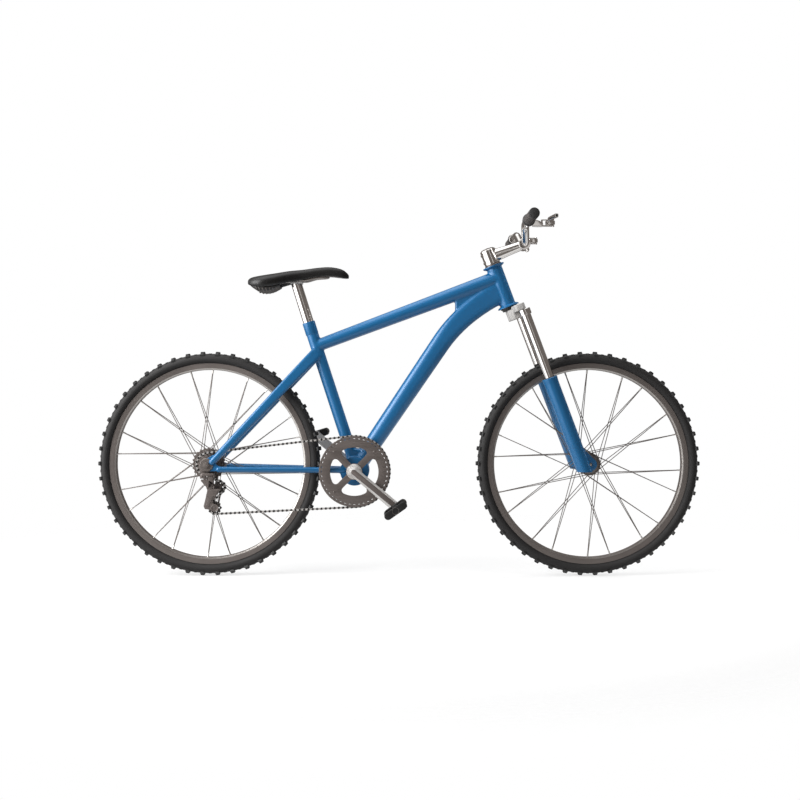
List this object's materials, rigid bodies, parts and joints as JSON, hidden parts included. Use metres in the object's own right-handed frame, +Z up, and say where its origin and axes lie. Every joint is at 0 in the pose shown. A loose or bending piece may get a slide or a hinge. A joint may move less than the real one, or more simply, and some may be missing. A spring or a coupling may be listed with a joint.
{
  "type": "bicycle",
  "caption": "Hardtail bicycle with a curved down tube, telescopic fork, raised bar with brake levers, chain drive with rear derailleur, and knobbly tyres on paired spokes.",
  "frame": {"origin": "on the ground, midway between the wheel centres in the middle plane", "axes": "+X is the riding direction, +Y the rider's left (the drive side is at -Y), +Z up"},
  "size_m": [1.7992, 0.68, 1.056],
  "materials": {
    "blue_paint": "glossy blue lacquer",
    "chromed_steel": "polished chrome",
    "cast_alloy": "satin cast alloy",
    "rim_alloy": "satin brownish grey",
    "dark_steel": "brownish grey steel",
    "tread_rubber": "matt black",
    "tube_rubber": "matt black",
    "grip_rubber": "matt dark grey",
    "black_plastic": "moulded black",
    "saddle_cover": "smooth black synthetic leather"
  },
  "bodies": {
    "main_frame": {"frame": "blue_paint", "seatpost": "chromed_steel", "saddle_clamp": "dark_steel", "saddle_rails": "dark_steel", "saddle_shell": "black_plastic", "saddle_cover": "saddle_cover", "headset_upper_bearing": "dark_steel", "headset_lower_bearing": "black_plastic", "bb_cup_right": "dark_steel", "bb_cup_left": "dark_steel", "chain": "dark_steel", "rear_axle": "dark_steel", "derailleur_body": "dark_steel"},
    "outer_link": {"derailleur_outer_link": "dark_steel"},
    "inner_link": {"derailleur_inner_link": "dark_steel"},
    "knuckle": {"derailleur_knuckle": "dark_steel"},
    "cage": {"cage_outer_plate": "dark_steel", "cage_inner_plate": "dark_steel"},
    "guide_wheel": {"guide_pulley": "black_plastic"},
    "tension_wheel": {"tension_pulley": "black_plastic"},
    "steering": {"steerer_tube": "dark_steel", "fork_crown": "cast_alloy", "stanchion_right": "chromed_steel", "stanchion_left": "chromed_steel", "fork_spring": "dark_steel", "stem": "chromed_steel", "stem_cap": "dark_steel", "handlebar": "chromed_steel", "grip_right": "grip_rubber", "grip_left": "grip_rubber", "lever_clamp_right": "dark_steel", "lever_clamp_left": "dark_steel"},
    "right_lever": {"brake_lever_right": "chromed_steel"},
    "left_lever": {"brake_lever_left": "chromed_steel"},
    "fork_lowers": {"fork_leg_right": "blue_paint", "fork_leg_left": "blue_paint", "piston_rod_right": "dark_steel", "piston_rod_left": "dark_steel", "front_axle": "chromed_steel"},
    "front_wheel": {"front_tyre": "tread_rubber", "front_inner_tube": "tube_rubber", "front_rim": "rim_alloy", "front_spokes": "chromed_steel", "front_hub": "dark_steel"},
    "rear_wheel": {"rear_tyre": "tread_rubber", "rear_inner_tube": "tube_rubber", "rear_rim": "rim_alloy", "rear_spokes": "chromed_steel", "rear_hub": "dark_steel"},
    "sprockets": {"freehub_body": "dark_steel", "cassette": "dark_steel"},
    "cranks": {"bb_spindle": "dark_steel", "crank_right": "chromed_steel", "crank_left": "chromed_steel", "chainring": "dark_steel", "pedal_spindle_right": "chromed_steel", "pedal_spindle_left": "chromed_steel"},
    "right_pedal": {"pedal_right": "black_plastic"},
    "left_pedal": {"pedal_left": "black_plastic"}
  },
  "joints": [
    {"name": "steering_turn", "type": "hinge", "parent": "main_frame", "child": "steering", "pos_m": [0.32902, 0, 0.80396], "axis": [-0.3502, 0, 0.9367], "range_deg": [-75, 75]},
    {"name": "fork_travel", "type": "slide", "parent": "steering", "child": "fork_lowers", "axis": [-0.3502, 0, 0.9367], "range_m": [0, 0.08], "stiffness_N_per_m": 7000, "springref_m": -0.02, "deforming": ["fork_spring"]},
    {"name": "front_wheel_spin", "type": "hinge", "parent": "fork_lowers", "child": "front_wheel", "pos_m": [0.565, 0, 0.335], "axis": [0, 1, 0], "continuous": true},
    {"name": "rear_wheel_spin", "type": "hinge", "parent": "main_frame", "child": "rear_wheel", "pos_m": [-0.565, 0, 0.335], "axis": [0, 1, 0], "continuous": true},
    {"name": "crank_spin", "type": "hinge", "parent": "main_frame", "child": "cranks", "pos_m": [-0.132, 0, 0.314], "axis": [0, 1, 0], "continuous": true},
    {"name": "sprocket_spin", "type": "hinge", "parent": "main_frame", "child": "sprockets", "pos_m": [-0.565, 0, 0.335], "axis": [0, 1, 0], "continuous": true},
    {"name": "right_pedal_spin", "type": "hinge", "parent": "cranks", "child": "right_pedal", "pos_m": [-0.00943, -0.127, 0.21115], "axis": [0, 1, 0], "continuous": true},
    {"name": "left_pedal_spin", "type": "hinge", "parent": "cranks", "child": "left_pedal", "pos_m": [-0.25457, 0.127, 0.41685], "axis": [0, 1, 0], "continuous": true},
    {"name": "right_lever_pull", "type": "hinge", "parent": "steering", "child": "right_lever", "pos_m": [0.4354, -0.196, 1.02799], "axis": [0, 0, -1], "range_deg": [0, 25], "stiffness_Nm_per_rad": 0.6, "springref_deg": -20.05},
    {"name": "left_lever_pull", "type": "hinge", "parent": "steering", "child": "left_lever", "pos_m": [0.4354, 0.196, 1.02799], "axis": [0, 0, 1], "range_deg": [0, 25], "stiffness_Nm_per_rad": 0.6, "springref_deg": -20.05},
    {"name": "derailleur_swing", "type": "hinge", "parent": "main_frame", "child": "outer_link", "pos_m": [-0.551, -0.078, 0.305], "axis": [1, 0, 0], "range_deg": [-25, 25], "stiffness_Nm_per_rad": 0.5, "deforming": ["chain"]},
    {"name": "inner_link_swing", "type": "hinge", "parent": "main_frame", "child": "inner_link", "pos_m": [-0.551, -0.067, 0.305], "axis": [1, 0, 0], "range_deg": [-25, 25]},
    {"name": "knuckle_swing", "type": "hinge", "parent": "outer_link", "child": "knuckle", "pos_m": [-0.551, -0.078, 0.27], "axis": [1, 0, 0], "range_deg": [-25, 25]},
    {"name": "cage_pivot", "type": "hinge", "parent": "knuckle", "child": "cage", "pos_m": [-0.5325, -0.055, 0.268], "axis": [0, -1, 0], "range_deg": [-30, 30], "stiffness_Nm_per_rad": 0.3, "deforming": ["chain"]},
    {"name": "guide_pulley_spin", "type": "hinge", "parent": "cage", "child": "guide_wheel", "pos_m": [-0.5325, -0.045, 0.268], "axis": [0, 1, 0], "continuous": true},
    {"name": "tension_pulley_spin", "type": "hinge", "parent": "cage", "child": "tension_wheel", "pos_m": [-0.5438, -0.045, 0.20704], "axis": [0, 1, 0], "continuous": true}
  ],
  "couplings": [
    {"joint": "sprocket_spin", "follows": "crank_spin", "ratio": 3.0588},
    {"joint": "guide_pulley_spin", "follows": "crank_spin", "ratio": -5.7778},
    {"joint": "tension_pulley_spin", "follows": "crank_spin", "ratio": 5.7778},
    {"joint": "inner_link_swing", "follows": "derailleur_swing", "ratio": 1},
    {"joint": "knuckle_swing", "follows": "derailleur_swing", "ratio": -1}
  ]
}
